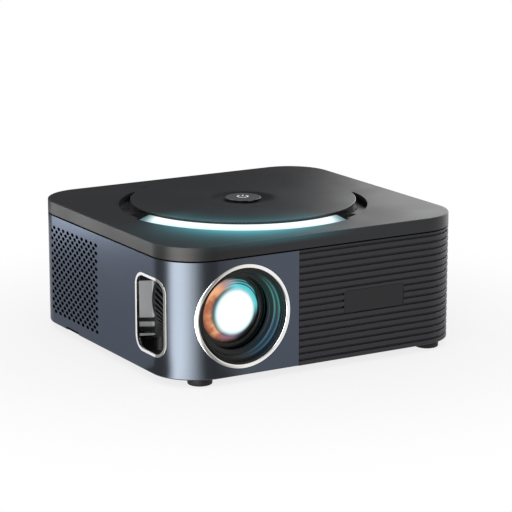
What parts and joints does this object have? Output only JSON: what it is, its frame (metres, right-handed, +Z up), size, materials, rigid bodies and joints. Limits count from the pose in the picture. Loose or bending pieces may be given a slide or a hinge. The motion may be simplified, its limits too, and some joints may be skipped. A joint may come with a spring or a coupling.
{
  "type": "video projector with disc player",
  "caption": "Square desktop projector with a round flip-up disc lid, ribbed front, side focus window and a lit ring.",
  "frame": {"origin": "on the surface that the feet stand on, under the middle of the body", "axes": "the lens looks along -Y, +X is to the right of someone who faces the lens, +Z is up"},
  "size_m": [0.23, 0.215, 0.0989],
  "materials": {
    "metallic_wall": "fine metallic satin lacquer",
    "cap_black": "fine satin moulded plastic",
    "lid_black": "fine satin moulded plastic",
    "rib_black": "satin moulded plastic",
    "rear_black": "textured moulded plastic",
    "inner_black": "fine matt moulded plastic",
    "rubber_black": "matt rubber",
    "bright_trim": "polished plate",
    "lens_glass": "coated glass",
    "panel_glass": "liquid crystal panel",
    "pickup_glass": "small coated lens",
    "engine_grey": "die cast, bead blasted",
    "copper": "plain copper",
    "insert_brass": "turned brass",
    "plated_steel": "plated steel",
    "board_green": "solder mask",
    "light_acrylic": "frosted diffuser",
    "speaker_cone": "pressed cone",
    "ir_red": "dark infrared window",
    "button_grey": "satin button"
  },
  "bodies": {
    "chassis": {"base_plate": "rear_black", "side_shell": "metallic_wall", "ribbed_grille": "rib_black", "rear_panel": "rear_black", "label_plate": "rib_black", "seam_frame": "rear_black", "top_cap": "cap_black", "feet": "rear_black", "foot_pads": "rubber_black", "tripod_insert": "insert_brass", "case_screws": "plated_steel", "window_bezel": "bright_trim", "lens_bezel": "bright_trim", "lens_hood": "inner_black", "lens_mount": "inner_black", "engine_housing": "engine_grey", "field_lens": "lens_glass", "lcd_panel": "panel_glass", "fresnel_lens": "lens_glass", "condenser_lens": "lens_glass", "led_module": "copper", "heat_sink": "engine_grey", "heat_pipes": "copper", "fan_frame": "rear_black", "main_board": "board_green", "hdmi_sockets": "plated_steel", "usb_socket": "plated_steel", "audio_jack": "inner_black", "ir_window": "ir_red", "mains_inlet": "inner_black", "power_board": "board_green", "front_speaker_box": "rear_black", "front_speaker": "speaker_cone", "side_speaker_box": "rear_black", "side_speaker": "speaker_cone", "light_board": "board_green", "light_ring": "light_acrylic", "disc_well": "inner_black", "lid_bumpers": "rubber_black", "well_magnet": "plated_steel", "spindle_motor": "plated_steel", "mechanism_chassis": "plated_steel", "dampers": "rubber_black", "guide_rods": "plated_steel", "sled_motor": "plated_steel", "hinge_pins": "plated_steel"},
    "lid": {"disc_lid": "lid_black", "lid_liner": "inner_black", "button_board": "board_green"},
    "button": {"power_button": "button_grey"},
    "clamp": {"disc_clamp": "plated_steel"},
    "turntable": {"turntable": "inner_black"},
    "pickup": {"pickup_sled": "inner_black", "pickup_lens": "pickup_glass"},
    "screw": {"lead_screw": "plated_steel"},
    "focus": {"focus_ring": "inner_black"},
    "barrel": {"lens_barrel": "inner_black", "front_lens": "lens_glass", "rear_lens": "lens_glass"},
    "fan": {"fan_rotor": "inner_black"}
  },
  "joints": [
    {"name": "lid_hinge", "type": "hinge", "parent": "chassis", "child": "lid", "pos_m": [0, 0.084, 0.09], "axis": [-1, 0, 0], "range_deg": [0, 70]},
    {"name": "button_press", "type": "slide", "parent": "lid", "child": "button", "axis": [0, 0, -1], "range_m": [0, 0.0008], "stiffness_N_per_m": 300, "springref_m": -0.0004},
    {"name": "clamp_spin", "type": "hinge", "parent": "lid", "child": "clamp", "pos_m": [0, 0.0032, 0.0885], "axis": [0, 0, 1], "continuous": true},
    {"name": "disc_spin", "type": "hinge", "parent": "chassis", "child": "turntable", "pos_m": [0, 0.0032, 0.084], "axis": [0, 0, 1], "continuous": true},
    {"name": "pickup_slide", "type": "slide", "parent": "chassis", "child": "pickup", "axis": [1, 0, 0], "range_m": [0, 0.034]},
    {"name": "screw_turn", "type": "hinge", "parent": "chassis", "child": "screw", "pos_m": [0.03, -0.0123, 0.076], "axis": [1, 0, 0], "range_deg": [0, 2041]},
    {"name": "focus_turn", "type": "hinge", "parent": "chassis", "child": "focus", "pos_m": [-0.0635, -0.058, 0.045], "axis": [0, -1, 0], "range_deg": [-60, 60]},
    {"name": "barrel_slide", "type": "slide", "parent": "chassis", "child": "barrel", "axis": [0, -1, 0], "range_m": [-0.0031, 0.0031]},
    {"name": "fan_turn", "type": "hinge", "parent": "chassis", "child": "fan", "pos_m": [-0.105, 0.0415, 0.0439], "axis": [1, 0, 0], "continuous": true}
  ],
  "couplings": [
    {"joint": "screw_turn", "follows": "pickup_slide", "rad_per_m": 1047.2},
    {"joint": "barrel_slide", "follows": "focus_turn", "m_per_rad": 0.0029}
  ]
}
